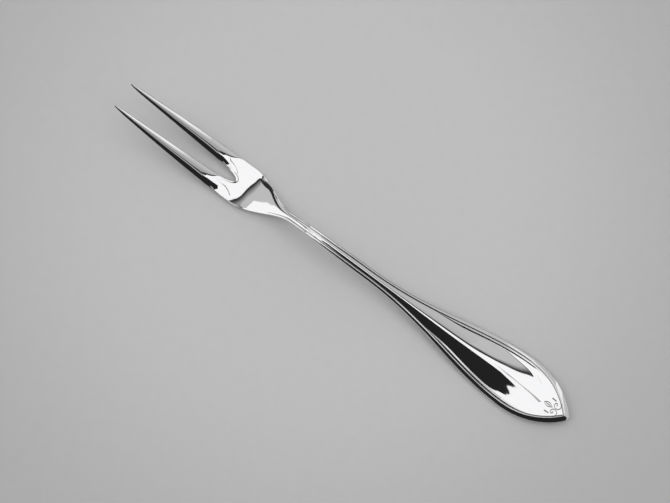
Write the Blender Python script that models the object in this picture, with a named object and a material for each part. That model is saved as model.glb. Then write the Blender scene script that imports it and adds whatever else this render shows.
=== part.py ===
"""Two-tine meat fork: a forged head and a leaf-shaped handle, brazed at a scarf in the stem.

Metres, +Z up. +X runs from the tine tips to the handle's pointed end, +Y across the fork.
The origin is on the table plane, under the middle of the fork's length.
A station is a distance from the tine tips, measured along X.
"""
import math

import bmesh
import bpy
import numpy as np
from mathutils import Matrix

# Lengths along the fork, from the tine tips to the handle's end
TINE_GAP_LENGTH = 0.0544       # tips to the round end of the gap between the tines
ROOT_LENGTH = 0.0026           # end of the gap to the start of the shoulders
SHOULDER_LENGTH = 0.0230       # shoulders, drawing in to the stem
STEM_LENGTH = 0.0330           # stem, to where the leaf starts to open
LEAF_OPENING_LENGTH = 0.0720   # leaf, to its widest station
LEAF_END_LENGTH = 0.0250       # widest station to the pointed end
TINE_POINT_LENGTH = 0.0060     # sharpened part of each tine
GAP_ROUND_LENGTH = 0.0095      # rounded inner end of the gap
JOINT_OFFSET = 0.0070          # start of the stem to the middle of the scarf
SCARF_RUN = 0.0060             # length of the scarf along the stem
JOINT_CLEARANCE = 0.0003       # solder space between the two scarf faces

# Half widths
GAP_HALF_WIDTH_TIP = 0.0046
GAP_TAPER = 0.0500             # narrowing of the gap's half width per length
TINE_SIDE_HALF_WIDTH = 0.00575  # outer side of the tines, carried on to the tips
ROOT_HALF_WIDTH = 0.00843
TINE_SIDE_POWER = 1.7          # how the outer sides swell towards the root
TINE_BLUNT_HALF_WIDTH = 0.00015
NECK_HALF_WIDTH = 0.0019
STEM_HALF_WIDTH = 0.00245
LEAF_HALF_WIDTH = 0.01145
LEAF_FLARE_POWER = 1.3
LEAF_END_FULLNESS = 2.2
LEAF_END_POINT = 0.8

# Heights of the middle of the back above the table plane
WEAR_DEPTH = 0.00005           # metal worn off the two places that the fork rests on
HEEL_SETBACK = 0.0044          # start of the heel, ahead of the end of the gap
TINE_TIP_RISE = 0.01007        # rise of the tips over the heel, along the top of the tines
TINE_BEND_LENGTH = 0.0225      # bend from the shoulders up into the straight tines
MID_SHOULDER_HEIGHT = 0.0008
NECK_HEIGHT = 0.0043
STEM_HEIGHT = 0.0050
LEAF_HEIGHT = 0.0042
MID_LEAF_HEIGHT = 0.0016
REST_SETBACK = 0.0260          # end of the handle's resting place, ahead of the handle's end
REST_LENGTH = 0.0050
END_HEIGHT = 0.0021

# Thickness of the metal, in the middle of the section
TINE_TIP_THICKNESS = 0.0006
TINE_THICKNESS = 0.0019
TINE_FULL_STATION = 0.0180     # where the tines reach their full thickness
HEEL_THICKNESS = 0.0020
NECK_THICKNESS = 0.0029
STEM_THICKNESS = 0.0031
LEAF_THICKNESS = 0.0027
MID_LEAF_THICKNESS = 0.0021
REST_THICKNESS = 0.0024
END_THICKNESS = 0.0016

# Relief of the top face
TINE_CROWN = 0.00030
ROOT_CROWN = 0.00020
STEM_EDGE_DROP = 0.00035       # bevel from the outer bead down to the edge
LEAF_EDGE_DROP = 0.00060
STEM_BEAD_INSET = 0.00060      # edge to the crest of the outer bead
LEAF_BEAD_INSET = 0.00155
BEAD_HALF_WIDTH = 0.00038
BEAD_HEIGHT = 0.00014
GROOVE_INSET = 0.00050         # crest of the outer bead to the groove
GROOVE_DEPTH = 0.00008
INNER_BEAD_SPACING = 0.00060   # groove to the crest of the inner bead
INNER_BEAD_HEIGHT = 0.00015
INNER_BEAD_START = 0.0340      # start of the leaf to the start of the inner bead
FIELD_INSET = 0.00060          # crest of the inner bead to the field
LINE_SPACING = 0.00010         # least step between the lines of the relief
STEM_KEEL_HEIGHT = 0.00010
LEAF_KEEL_HEIGHT = 0.00078
KEEL_FADE_SETBACK = 0.0280     # start of the keel's run-out, ahead of the handle's end
KEEL_FADE_LENGTH = 0.0170
MITRE_LENGTH = 0.0065          # hip from the border's corner to the pointed end
BACK_ROUND_STEM = 0.00100      # rise of the back towards its edges
BACK_ROUND_LEAF = 0.00045
BACK_ROUND_HEAD = 0.00030

# Fineness of the lofts. Shares run across a half section, lines of a face from side to middle
TINE_TOP_SHARES = (1.0, 0.94, 0.82, 0.66, 0.5, 0.34, 0.18, 0.06, 0.0)
BACK_SHARES = (0.0, 0.2, 0.45, 0.72, 1.0)
FIELD_STEPS = 3
POINT_STEPS = 4
TINE_STEPS = 9
GAP_ROUND_STEPS = 7
NECK_STEPS = 13
HANDLE_STEPS = 36
END_STEPS = 12
SMOOTH_ANGLE = math.radians(40)
MERGE_DISTANCE = 0.00001

STEEL_COLOUR = (0.80, 0.80, 0.81, 1.0)
STEEL_ROUGHNESS = 0.06

# Stations
GAP_END = TINE_GAP_LENGTH
HEEL = GAP_END - HEEL_SETBACK
SHOULDER = GAP_END + ROOT_LENGTH
STEM = SHOULDER + SHOULDER_LENGTH
JOINT = STEM + JOINT_OFFSET
LEAF = STEM + STEM_LENGTH
WIDEST = LEAF + LEAF_OPENING_LENGTH
END = WIDEST + LEAF_END_LENGTH
REST = END - REST_SETBACK


def clear_scene():
    for item in list(bpy.data.objects):
        bpy.data.objects.remove(item, do_unlink=True)


def smooth(value):
    """Ease from 0 to 1, level at both ends."""
    value = min(max(value, 0.0), 1.0)
    return value * value * (3.0 - 2.0 * value)


def ease(station, start, stop, first, last):
    """A size that changes from first to last between two stations."""
    return first + (last - first) * smooth((station - start) / (stop - start))


def natural_spline(knots):
    """Smooth curve through (station, value) knots, without bending moment at its ends."""
    x = np.array([knot[0] for knot in knots])
    y = np.array([knot[1] for knot in knots])
    step = np.diff(x)
    count = len(x)
    matrix = np.eye(count)
    right = np.zeros(count)
    for i in range(1, count - 1):
        matrix[i, i - 1:i + 2] = step[i - 1], 2.0 * (step[i - 1] + step[i]), step[i]
        right[i] = 6.0 * ((y[i + 1] - y[i]) / step[i] - (y[i] - y[i - 1]) / step[i - 1])
    bend = np.linalg.solve(matrix, right)

    def value(station):
        i = int(np.clip(np.searchsorted(x, station) - 1, 0, count - 2))
        a = (x[i + 1] - station) / step[i]
        b = 1.0 - a
        curve = (a ** 3 - a) * bend[i] + (b ** 3 - b) * bend[i + 1]
        return float(a * y[i] + b * y[i + 1] + curve * step[i] ** 2 / 6.0)

    return value


THICKNESS = natural_spline([
    (0.0, TINE_TIP_THICKNESS),
    (TINE_FULL_STATION, TINE_THICKNESS),
    (HEEL, HEEL_THICKNESS),
    (SHOULDER, HEEL_THICKNESS),
    (STEM, NECK_THICKNESS),
    ((STEM + LEAF) / 2.0, STEM_THICKNESS),
    (LEAF, LEAF_THICKNESS),
    ((LEAF + WIDEST) / 2.0, MID_LEAF_THICKNESS),
    (REST, REST_THICKNESS),
    (END, END_THICKNESS),
])

REAR_BACK = natural_spline([
    (HEEL, -WEAR_DEPTH),
    (SHOULDER, -WEAR_DEPTH),
    ((SHOULDER + STEM) / 2.0, MID_SHOULDER_HEIGHT),
    (STEM, NECK_HEIGHT),
    ((STEM + LEAF) / 2.0, STEM_HEIGHT),
    (LEAF, LEAF_HEIGHT),
    ((LEAF + WIDEST) / 2.0, MID_LEAF_HEIGHT),
    (REST - REST_LENGTH, -WEAR_DEPTH),
    (REST, -WEAR_DEPTH),
    (END, END_HEIGHT),
])


def back_line(station):
    """Height of the middle of the back. The tines are straight on top and taper from below."""
    if station >= SHOULDER:
        return REAR_BACK(station)
    slope = TINE_TIP_RISE / (SHOULDER - TINE_BEND_LENGTH / 2.0)
    ahead = SHOULDER - station
    bend = min(ahead, TINE_BEND_LENGTH)
    rise = slope * (ahead - bend + bend ** 2 / (2.0 * TINE_BEND_LENGTH))
    return rise + HEEL_THICKNESS - THICKNESS(station) - WEAR_DEPTH


def outer_half_width(station):
    """Half width of the whole fork at a station."""
    if station <= SHOULDER:
        swell = (1.0 - station / SHOULDER) ** TINE_SIDE_POWER
        return ROOT_HALF_WIDTH - (ROOT_HALF_WIDTH - TINE_SIDE_HALF_WIDTH) * swell
    if station <= STEM:
        return ease(station, SHOULDER, STEM, ROOT_HALF_WIDTH, NECK_HALF_WIDTH)
    along = min((station - STEM) / STEM_LENGTH, 1.0)
    stem = NECK_HALF_WIDTH + (STEM_HALF_WIDTH - NECK_HALF_WIDTH) * along
    if station <= WIDEST:
        flare = smooth((station - LEAF) / LEAF_OPENING_LENGTH) ** LEAF_FLARE_POWER
        return stem + (LEAF_HALF_WIDTH - stem) * flare
    past = min((station - WIDEST) / LEAF_END_LENGTH, 1.0)
    return LEAF_HALF_WIDTH * (1.0 - past ** LEAF_END_FULLNESS) ** LEAF_END_POINT


def gap_half_width(station):
    """Half width of the gap between the tines, closing in a round end."""
    straight = GAP_HALF_WIDTH_TIP - GAP_TAPER * station
    past = (station - (GAP_END - GAP_ROUND_LENGTH)) / GAP_ROUND_LENGTH
    if past <= 0.0:
        return straight
    return straight * math.sqrt(max(1.0 - past * past, 0.0))


def tine_sides(station):
    """Inner and outer half widths of a tine, drawn to a point at its tip."""
    inner = gap_half_width(station)
    outer = outer_half_width(station)
    middle = (inner + outer) / 2.0
    half = (outer - inner) / 2.0
    if station < TINE_POINT_LENGTH:
        point = math.sqrt(1.0 - (1.0 - station / TINE_POINT_LENGTH) ** 2)
        half = TINE_BLUNT_HALF_WIDTH + (half - TINE_BLUNT_HALF_WIDTH) * point
    return middle - half, middle + half


def bump(distance, half_width):
    """Round rise of height 1, gone at half_width from its crest."""
    if abs(distance) >= half_width:
        return 0.0
    return math.cos(distance / half_width * math.pi / 2.0) ** 2


def relief_lines(station):
    """Insets from the edge: bevel foot, outer bead, its foot, groove, inner bead and field."""
    bead = ease(station, STEM, WIDEST, STEM_BEAD_INSET, LEAF_BEAD_INSET)
    inner = inner_bead(station)
    groove = bead + GROOVE_INSET
    second = groove + LINE_SPACING + (INNER_BEAD_SPACING - LINE_SPACING) * inner
    field = second + LINE_SPACING + (FIELD_INSET - LINE_SPACING) * inner
    return bead - BEAD_HALF_WIDTH, bead, bead + BEAD_HALF_WIDTH, groove, second, field


def inner_bead(station):
    """Strength of the inner bead, which starts a little way up the leaf."""
    start = LEAF + INNER_BEAD_START
    return smooth((station - start) / INNER_BEAD_START)


def keel_height(station):
    """Height of the centre ridge over the edge of the field."""
    if station <= LEAF:
        return ease(station, SHOULDER, STEM, 0.0, STEM_KEEL_HEIGHT)
    rise = ease(station, LEAF, WIDEST, STEM_KEEL_HEIGHT, LEAF_KEEL_HEIGHT)
    fade = END - KEEL_FADE_SETBACK
    return rise * ease(station, fade, fade + KEEL_FADE_LENGTH, 1.0, 0.0)


def border_relief(station, inset, centre_inset):
    """Height of the top face over its middle, from the bevelled edge to the keel."""
    foot, bead, _, groove, second, field = relief_lines(station)
    strength = smooth((station - SHOULDER) / SHOULDER_LENGTH)
    drop = ease(station, STEM, WIDEST, STEM_EDGE_DROP, LEAF_EDGE_DROP)
    height = -keel_height(station) - drop * max(1.0 - inset / foot, 0.0)
    height += BEAD_HEIGHT * bump(inset - bead, BEAD_HALF_WIDTH)
    height -= GROOVE_DEPTH * bump(inset - groove, GROOVE_INSET - BEAD_HALF_WIDTH)
    height += INNER_BEAD_HEIGHT * inner_bead(station) * bump(inset - second, FIELD_INSET)
    if inset > field:
        height += keel_height(station) * (inset - field) / (centre_inset - field)
    return strength * height


def back_round(station):
    """Rise of the back towards its edges."""
    head = ease(station, SHOULDER, STEM, BACK_ROUND_HEAD, BACK_ROUND_STEM)
    return ease(station, LEAF, WIDEST, head, BACK_ROUND_LEAF)


def back_height(station, share):
    """Height of the back, share 0 at the edge and 1 at its middle, worn flat on the table."""
    rise = back_round(station) * (1.0 - share) ** 2
    return max(back_line(station) + rise, 0.0)


def to_x(station):
    return station - END / 2.0


def head_crown(station, width_from_gap, width_from_side, reach):
    """Drop of the head's top face towards the gap and towards its outer sides."""
    round_start = GAP_END - GAP_ROUND_LENGTH
    crown = ease(station, round_start, SHOULDER, TINE_CROWN, ROOT_CROWN)
    crown = min(crown, THICKNESS(station) / 3.0)
    crown *= 1.0 - smooth((station - SHOULDER) / SHOULDER_LENGTH)
    gap = max(1.0 - width_from_gap / reach, 0.0) ** 2
    side = max(1.0 - width_from_side / reach, 0.0) ** 2
    return crown * (gap + side)


def head_ring(station):
    """Half section of the head: top from the gap to the side, then back to the gap."""
    if station < GAP_END:
        inner, outer = tine_sides(station)
    else:
        inner, outer = 0.0, outer_half_width(station)
    width = outer - inner
    lines = relief_lines(station)
    neck = smooth((station - SHOULDER) / (SHOULDER_LENGTH / 2.0))
    neck_insets = (0.0, *lines)
    neck_shares = [1.0 - inset / width for inset in neck_insets]
    neck_shares += [neck_shares[-1] / 2.0, 0.0]
    reach = width / 2.0
    top = []
    for tine_share, neck_share in zip(TINE_TOP_SHARES, neck_shares):
        y = inner + width * (tine_share + (neck_share - tine_share) * neck)
        from_gap = y - inner if station < GAP_END else math.hypot(station - GAP_END, y)
        level = back_line(station) + THICKNESS(station)
        level -= head_crown(station, from_gap, outer - y, reach)
        level += border_relief(station, outer - y, width)
        top.append((to_x(station), y, level))
    back = []
    for share in BACK_SHARES:
        middle = 1.0 - abs(2.0 * share - 1.0) if station < GAP_END else share
        y = outer - width * share
        back.append((to_x(station), y, back_height(station, middle)))
    return top[::-1] + back


def handle_ring(station):
    """Half section of the handle: top from the middle to the edge, then back to the middle."""
    width = outer_half_width(station)
    past = max(station - WIDEST, 0.0) / LEAF_END_LENGTH
    lean = MITRE_LENGTH * past ** 2
    probe = LEAF_END_LENGTH / 1000.0
    before = outer_half_width(station - probe)
    after = outer_half_width(min(station + probe, END))
    run = min(station + probe, END) - station + probe
    slope = math.atan2(before - after, run)
    centre_inset = width * math.cos(slope) + lean * math.sin(slope)
    lines = relief_lines(station)
    shares = [0.0] + [inset / centre_inset for inset in lines]
    field = shares[-1]
    shares += [field + (1.0 - field) * (i + 1) / FIELD_STEPS for i in range(FIELD_STEPS)]
    top = []
    for share in shares:
        place = station - lean * share
        level = back_line(place) + THICKNESS(place)
        level += border_relief(station, share * centre_inset, centre_inset)
        top.append((to_x(place), width * (1.0 - share), level))
    back = []
    for share in BACK_SHARES:
        place = station - lean * share
        back.append((to_x(place), width * (1.0 - share), back_height(place, share)))
    return top[::-1] + back


def scarf_ring(ring, clearance_side):
    """Lean a ring over along the scarf, half a clearance to one side of the joint."""
    depth = THICKNESS(JOINT)
    middle = back_line(JOINT) + depth / 2.0
    lean = SCARF_RUN / depth
    offset = clearance_side * JOINT_CLEARANCE / 2.0 * math.hypot(1.0, lean)
    return [(to_x(JOINT) + offset + lean * (z - middle), y, z) for _, y, z in ring]


def head_stations():
    """Stations of the head, close together at the points and at the gap's round end."""
    stations = [TINE_POINT_LENGTH * (1.0 - math.cos(math.pi / 2.0 * i / POINT_STEPS))
                for i in range(POINT_STEPS)]
    round_start = GAP_END - GAP_ROUND_LENGTH
    stations += list(np.linspace(TINE_POINT_LENGTH, round_start, TINE_STEPS, endpoint=False))
    stations += [round_start + GAP_ROUND_LENGTH * math.sin(math.pi / 2.0 * i / GAP_ROUND_STEPS)
                 for i in range(GAP_ROUND_STEPS)]
    gap_rings = len(stations) + 1
    neck_end = JOINT - SCARF_RUN
    stations += [GAP_END]
    stations += list(np.linspace(SHOULDER, neck_end, NECK_STEPS))
    return stations, gap_rings


def handle_stations():
    """Stations of the handle, close together towards the pointed end."""
    stations = list(np.linspace(JOINT + SCARF_RUN, WIDEST, HANDLE_STEPS, endpoint=False))
    stations += [WIDEST + LEAF_END_LENGTH * math.sin(math.pi / 2.0 * i / END_STEPS)
                 for i in range(END_STEPS + 1)]
    return stations


def polished_steel(name):
    material = bpy.data.materials.new(name)
    material.use_nodes = True
    shader = material.node_tree.nodes["Principled BSDF"]
    shader.inputs["Base Color"].default_value = STEEL_COLOUR
    shader.inputs["Metallic"].default_value = 1.0
    shader.inputs["Roughness"].default_value = STEEL_ROUGHNESS
    return material


def loft(name, rings, closed_rings, capped_rings):
    """Join half-section rings, mirror them across the fork and make one smooth object.

    The first closed_rings rings go all the way round. Each of capped_rings gets an end face.
    """
    bm = bmesh.new()
    rows = [[bm.verts.new(point) for point in ring] for ring in rings]
    for i in range(len(rows) - 1):
        near, far = rows[i], rows[i + 1]
        for k in range(len(near) - 1):
            bm.faces.new((near[k], near[k + 1], far[k + 1], far[k]))
        if i + 1 < closed_rings:
            bm.faces.new((near[-1], near[0], far[0], far[-1]))
    for i in capped_rings:
        bm.faces.new(rows[i])
    whole = bm.verts[:] + bm.edges[:] + bm.faces[:]
    bmesh.ops.mirror(bm, geom=whole, matrix=Matrix(), merge_dist=MERGE_DISTANCE, axis='Y')
    bmesh.ops.recalc_face_normals(bm, faces=bm.faces)
    mesh = bpy.data.meshes.new(name)
    bm.to_mesh(mesh)
    bm.free()
    mesh.shade_smooth()
    mesh.set_sharp_from_angle(angle=SMOOTH_ANGLE)
    mesh.materials.append(polished_steel(name + "_steel"))
    item = bpy.data.objects.new(name, mesh)
    bpy.context.scene.collection.objects.link(item)
    return item


def make_fork_head():
    stations, gap_rings = head_stations()
    rings = [head_ring(station) for station in stations]
    rings.append(scarf_ring(head_ring(JOINT), -1.0))
    loft("fork_head", rings, gap_rings, (0, len(rings) - 1))


def make_handle():
    rings = [scarf_ring(handle_ring(JOINT), 1.0)]
    rings += [handle_ring(station) for station in handle_stations()]
    loft("handle", rings, 0, (0,))


clear_scene()
make_fork_head()
make_handle()
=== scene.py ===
import math

import bpy
import numpy as np
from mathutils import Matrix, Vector


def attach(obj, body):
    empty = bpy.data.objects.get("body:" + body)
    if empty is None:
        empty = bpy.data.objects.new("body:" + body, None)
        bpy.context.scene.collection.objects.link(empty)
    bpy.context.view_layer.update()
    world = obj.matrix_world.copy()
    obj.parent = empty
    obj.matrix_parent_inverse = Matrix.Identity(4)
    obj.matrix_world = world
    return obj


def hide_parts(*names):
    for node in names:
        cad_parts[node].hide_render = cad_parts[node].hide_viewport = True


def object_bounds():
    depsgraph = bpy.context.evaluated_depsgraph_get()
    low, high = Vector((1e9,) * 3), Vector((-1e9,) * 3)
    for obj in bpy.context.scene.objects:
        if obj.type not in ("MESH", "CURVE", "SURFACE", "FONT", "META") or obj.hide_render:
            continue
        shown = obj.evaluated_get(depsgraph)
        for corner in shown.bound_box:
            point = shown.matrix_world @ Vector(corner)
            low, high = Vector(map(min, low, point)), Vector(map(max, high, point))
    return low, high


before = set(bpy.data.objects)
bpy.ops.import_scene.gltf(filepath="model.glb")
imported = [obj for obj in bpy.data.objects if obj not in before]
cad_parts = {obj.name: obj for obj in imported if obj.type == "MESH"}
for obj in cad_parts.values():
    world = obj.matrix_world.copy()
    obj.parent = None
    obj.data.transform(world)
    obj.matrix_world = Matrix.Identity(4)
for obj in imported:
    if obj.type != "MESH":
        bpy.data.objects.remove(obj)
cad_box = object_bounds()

# A polished meat fork with two tines, on a pale floor with a painted pool of light, in soft studio light.
# Shapes are worked out in millimetres. A station is a distance along the fork from the tine tips,
# and an inset is a distance in from the fork's edge.
MM = 0.001

# Stations and lengths along the fork
TINE_POINT = 6.0
GAP_END = 53.0
GAP_ROUND = 9.5
HEEL = 57.0
SHOULDER = 57.0
STEM = 80.0
JOINT = 87.0
SCARF_RUN = 6.0
LEAF = 113.0
REST = 184.0
REST_LENGTH = 5.0
WIDEST = 185.0
END = round((cad_box[1][0] - cad_box[0][0]) / MM, 3)

# Outline: half widths, and the powers that shape its curves
GAP_HALF_WIDTH = 4.6
GAP_TAPER = 0.05
TINE_BLUNT = 0.15
TINE_SIDE_HALF_WIDTH = 5.75
TINE_SIDE_POWER = 1.7
ROOT_HALF_WIDTH = 8.43
NECK_HALF_WIDTH = 1.9
STEM_HALF_WIDTH = 2.45
LEAF_HALF_WIDTH = round(cad_box[1][1] / MM, 3)
LEAF_FLARE_POWER = 1.3
LEAF_END_FULLNESS = 2.2
LEAF_END_POINT = 0.8
MITRE = 6.5

# Stretches over which a form grows in: first station and run
KEEL_IN = (82.0, 13.0)
POINTED_IN = (188.0, 10.0)
INNER_BEAD_IN = (143.0, 16.0)
INNER_BEAD_OUT = (186.0, 12.0)
RELIEF_IN = (68.0, 13.0)
GROOVE_SHADE_IN = (74.0, 8.0)

# Changes along the fork: first and last station, first and last value
TINE_CROWN = (3.0, 22.0, 0.20, 0.12)
CROWN_OUT = (42.0, 54.0, 1.0, 0.0)
BOW_IN = (40.0, 52.0, 0.0, 1.0)
BOW_OUT = (62.0, 76.0, 1.0, 0.0)
SHOULDER_ROLL_IN = (59.5, 63.5, 0.0, 1.0)
SHOULDER_ROLL_OUT = (70.0, 80.0, 1.0, 0.0)
LIP_IN = (45.0, 53.0, 0.0, 1.0)
EDGE_DROP = (STEM, WIDEST, 0.30, 0.48)
GROOVE_FOOT = (STEM, 150.0, -0.10, -0.02)
STEM_BEVEL = (90.0, 112.0, 3.0, 1.5)
LEAF_BEVEL = (130.0, 160.0)
LEAF_BEVEL_POWER = 1.2
GROOVE_SHARPNESS = (90.0, 112.0, 3.0, 1.0)
STEM_BACK_RISE = (SHOULDER, STEM, 0.30, 1.00)
LEAF_BACK_RISE = 0.40
END_BACK_RISE = (WIDEST, END, 1.0, 0.6)

# Widths and heights of the mouldings
BEAD_CREST = 0.11
GROOVE_FLANK = 0.45
GROOVE_NARROWING = 0.09
LEAST_FLANK = 0.03
INNER_BEAD_RISE = 0.67
INNER_BEAD_FALL = 0.55
INNER_BEAD_HEIGHT = 0.16
POINTED_FLANK = 0.20
POINTED_GROOVE = 0.07
STEM_RIB = 0.20
STEM_RIB_POWER = 2.4
LEAST_REACH = 0.05
LEVELLING = 2.0

# Roundings of the head and of the edges
CROWN_REACH = 2.6
ROOT_BOW = 170.0
SHOULDER_ROLL = 0.026
SHOULDER_ROLL_REACH = 2.75
SLOT_EDGE_REACH = 0.25
LIP_REACH = 1.25
LIP_DEPTH = 0.25
EDGE_DEPTH_SHARE = 0.12
TOP_EDGE_REACH = 0.28
TOP_EDGE_DEPTH = 0.22
BACK_EDGE_REACH = 0.35
BACK_EDGE_DEPTH = 0.30
WEAR = 0.03


def smooth(value):
    """Ease from 0 to 1 as the value goes from 0 to 1."""
    value = np.clip(value, 0.0, 1.0)
    return value * value * (3.0 - 2.0 * value)


def settled(value):
    """Integral of smooth."""
    inside = np.clip(value, 0.0, 1.0)
    return inside ** 3 - inside ** 4 / 2.0 + np.maximum(value - 1.0, 0.0)


def rising(station, start, run):
    """Share that grows from 0 at the start to 1 a run further on."""
    return smooth((station - start) / run)


def ease(station, start, stop, first, last):
    """Value that eases from first at the start to last at the stop."""
    return first + (last - first) * rising(station, start, stop - start)


def cosine(first, last, share):
    """Value along half a cosine wave, from first at share 0 to last at share 1."""
    return first + (last - first) * (1.0 - np.cos(np.pi * np.clip(share, 0.0, 1.0))) / 2.0


def roll(distance, reach, depth):
    """Drop of a rounded edge: depth at the edge itself, nothing past reach."""
    share = np.clip(1.0 - distance / reach, 0.0, 1.0)
    return depth * (1.0 - np.sqrt(1.0 - share * share))


def quarter_turn(count):
    """Angles of a quarter turn."""
    return np.linspace(0.0, np.pi / 2.0, count)


def spline(*knots):
    """Natural cubic spline through (station, value) knots, as a function of arrays."""
    x, y = np.array(knots, dtype=float).T
    step = np.diff(x)
    count = len(x)
    matrix = np.eye(count)
    right = np.zeros(count)
    for i in range(1, count - 1):
        matrix[i, i - 1:i + 2] = step[i - 1], 2.0 * (step[i - 1] + step[i]), step[i]
        right[i] = 6.0 * ((y[i + 1] - y[i]) / step[i] - (y[i] - y[i - 1]) / step[i - 1])
    bend = np.linalg.solve(matrix, right)

    def value(station):
        station = np.asarray(station, dtype=float)
        i = np.clip(np.searchsorted(x, station) - 1, 0, count - 2)
        a = (x[i + 1] - station) / step[i]
        b = 1.0 - a
        curve = (a ** 3 - a) * bend[i] + (b ** 3 - b) * bend[i + 1]
        return a * y[i] + b * y[i + 1] + curve * step[i] ** 2 / 6.0

    return value


# Thickness, and height of the back behind the heel
THICKNESS = spline(
    (0.0, 0.6), (18.0, 1.9), (50.0, 2.0), (HEEL, 2.0), (STEM, 2.8), (LEAF, 2.8),
    (189.0, 1.9), (END, 1.3))
REAR_BACK = spline(
    (50.0, -WEAR), (HEEL, -WEAR), ((SHOULDER + STEM) / 2.0, 0.8), (STEM, 4.3),
    ((STEM + LEAF) / 2.0, 5.0), (LEAF, 4.2), ((LEAF + WIDEST) / 2.0, 1.6),
    (REST - REST_LENGTH, -WEAR), (REST, -WEAR), (END, 2.1))

# Slope of the top face from the tips to the heel, in degrees, and the height that it leads to.
# It ends with the slope that the face has behind the heel.
TINE_STEPS = np.linspace(0.0, HEEL, 1200)
HEEL_PROBE = HEEL + 0.01
HEEL_RISE = REAR_BACK(HEEL_PROBE) + THICKNESS(HEEL_PROBE) - REAR_BACK(HEEL) - THICKNESS(HEEL)
HEEL_SLOPE = np.degrees(np.arctan2(HEEL_RISE, HEEL_PROBE - HEEL))
TINE_SLOPE_KNOTS = (
    (0.0, 13.4), (15.0, 12.9), (30.0, 12.0), (40.9, 11.25), (48.8, 4.7), (HEEL, -HEEL_SLOPE))
TINE_SLOPE = np.interp(TINE_STEPS, *zip(*TINE_SLOPE_KNOTS))
TINE_LINE = np.cumsum(np.tan(np.radians(TINE_SLOPE[::-1])))[::-1] * (TINE_STEPS[1] - TINE_STEPS[0])
TINE_LINE = TINE_LINE - TINE_LINE[-1]

# Inset of the outer bead's crest, slope of the field in degrees and roundness of its ridge
BEAD_INSET = spline(
    (STEM, 0.62), (88.0, 0.66), (115.0, 0.86), (126.0, 0.88), (137.6, 0.98), (153.0, 1.30),
    (172.0, 1.52), (WIDEST, 1.55), (195.0, 1.65), (203.0, 1.90), (END, 2.00))
FIELD_SLOPE = spline(
    (STEM, 9.0), (100.0, 8.5), (115.0, 8.0), (134.0, 7.2), (153.0, 7.0), (172.0, 7.0),
    (180.0, 6.85), (188.0, 6.75), (195.0, 5.9), (203.0, 3.0), (END, 0.0))
RIDGE_ROUND = spline(
    (STEM, 0.30), (100.0, 0.35), (115.0, 0.38), (126.0, 0.50), (137.0, 0.75), (153.0, 1.35),
    (165.0, 1.45), (172.0, 1.50), (178.0, 1.65), (184.0, 2.10), (190.0, 2.90), (196.0, 3.5),
    (END, 3.8))

# Distance from the ridge at which the field starts to level out
FIELD_REACH = spline(
    (STEM, 30.0), (150.0, 14.0), (165.0, 9.2), (172.0, 7.6), (178.0, 6.9), (183.5, 6.5),
    (187.0, 6.1), (190.0, 5.3), (193.0, 4.0), (196.0, 2.4), (200.0, 0.5), (204.0, -1.5),
    (END, -4.5))

# Fall of the ridge towards the handle's end, in degrees, and the height that it leads to
RIDGE_START = STEM - 12.0
RIDGE_HEIGHT_AT_REST = 2.35
RIDGE_FALL = spline(
    (STEM, -7.0), (90.0, 0.5), (98.0, 3.6), (113.0, 4.9), (130.0, 5.2), (145.3, 4.9),
    (153.0, 4.4), (164.4, 3.0), (172.0, 1.2), (179.5, 0.0), (183.5, -0.4), (187.0, -0.75),
    (191.0, -1.1), (199.0, -1.6), (END, -2.2))
RIDGE_STEPS = np.linspace(RIDGE_START, END, 1400)
RIDGE_TANGENTS = np.tan(np.radians(RIDGE_FALL(np.maximum(RIDGE_STEPS, STEM))))
RIDGE_LINE = -np.cumsum(RIDGE_TANGENTS * (RIDGE_STEPS[1] - RIDGE_STEPS[0]))
RIDGE_LINE = RIDGE_LINE - np.interp(REST, RIDGE_STEPS, RIDGE_LINE) + RIDGE_HEIGHT_AT_REST


def back_height(station):
    """Height of the middle of the back: upswept tines, a bend at the heel, then one long curve."""
    tines = np.interp(station, TINE_STEPS, TINE_LINE) - WEAR
    tines = tines + THICKNESS(HEEL) - THICKNESS(np.minimum(station, HEEL))
    return np.where(station < HEEL, tines, REAR_BACK(np.maximum(station, HEEL)))


def outer_half_width(station):
    """Half width of the outline: tines, shoulders, stem, leaf and its pointed end."""
    swell = np.clip(1.0 - station / SHOULDER, 0.0, 1.0) ** TINE_SIDE_POWER
    head = ROOT_HALF_WIDTH - (ROOT_HALF_WIDTH - TINE_SIDE_HALF_WIDTH) * swell
    neck = ease(station, SHOULDER, STEM, ROOT_HALF_WIDTH, NECK_HALF_WIDTH)
    along = np.clip((station - STEM) / (LEAF - STEM), 0.0, 1.0)
    stem = NECK_HALF_WIDTH + (STEM_HALF_WIDTH - NECK_HALF_WIDTH) * along
    flare = smooth((station - LEAF) / (WIDEST - LEAF)) ** LEAF_FLARE_POWER
    leaf = stem + (LEAF_HALF_WIDTH - stem) * flare
    past = np.clip((station - WIDEST) / (END - WIDEST), 0.0, 1.0)
    tip = LEAF_HALF_WIDTH * (1.0 - past ** LEAF_END_FULLNESS) ** LEAF_END_POINT
    return np.where(station <= SHOULDER, head,
                    np.where(station <= STEM, neck, np.where(station <= WIDEST, leaf, tip)))


def gap_half_width(station):
    """Half width of the gap between the tines, with its round end."""
    past = np.clip((station - (GAP_END - GAP_ROUND)) / GAP_ROUND, 0.0, 1.0)
    return (GAP_HALF_WIDTH - GAP_TAPER * station) * np.sqrt(1.0 - past * past)


def tine_sides(station):
    """Distance of a tine's inner and outer side from the fork's middle, drawn to a point."""
    inner = gap_half_width(station)
    outer = outer_half_width(station)
    middle = (inner + outer) / 2.0
    half = (outer - inner) / 2.0
    point = np.sqrt(1.0 - np.clip(1.0 - station / TINE_POINT, 0.0, 1.0) ** 2)
    half = np.where(station < TINE_POINT, TINE_BLUNT + (half - TINE_BLUNT) * point, half)
    return middle - half, middle + half


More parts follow.
